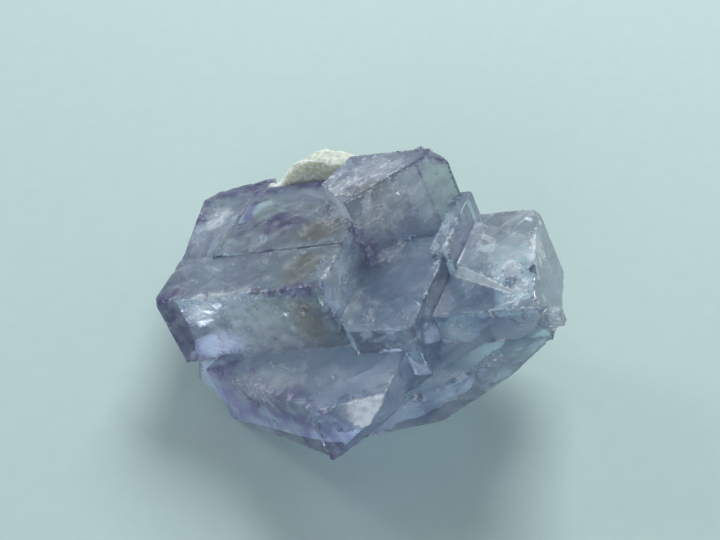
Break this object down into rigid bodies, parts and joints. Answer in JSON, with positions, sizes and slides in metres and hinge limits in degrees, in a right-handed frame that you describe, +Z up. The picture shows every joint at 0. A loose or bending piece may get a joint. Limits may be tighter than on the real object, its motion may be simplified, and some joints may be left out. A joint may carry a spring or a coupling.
{
  "type": "cubic fluorite crystal cluster",
  "caption": "Hand specimen of see-through lavender fluorite: cubes grown into each other, with a colourless cube at one side and a remnant of cream matrix behind, resting on a flat break.",
  "frame": {"origin": "middle of the bottom of the bounding box, on the flat break that the specimen rests on", "axes": "+X to the right along the cluster's longest way, +Y away from the viewer towards the matrix, +Z up"},
  "size_m": [0.064, 0.0592, 0.0353],
  "materials": {
    "fluorite": "glassy, see-through, lavender to blue-grey",
    "matrix": "rough, sugary, cream-white"
  },
  "bodies": {
    "root": {"fluorite_cluster": "fluorite", "matrix_remnant": "matrix"}
  },
  "joints": []
}
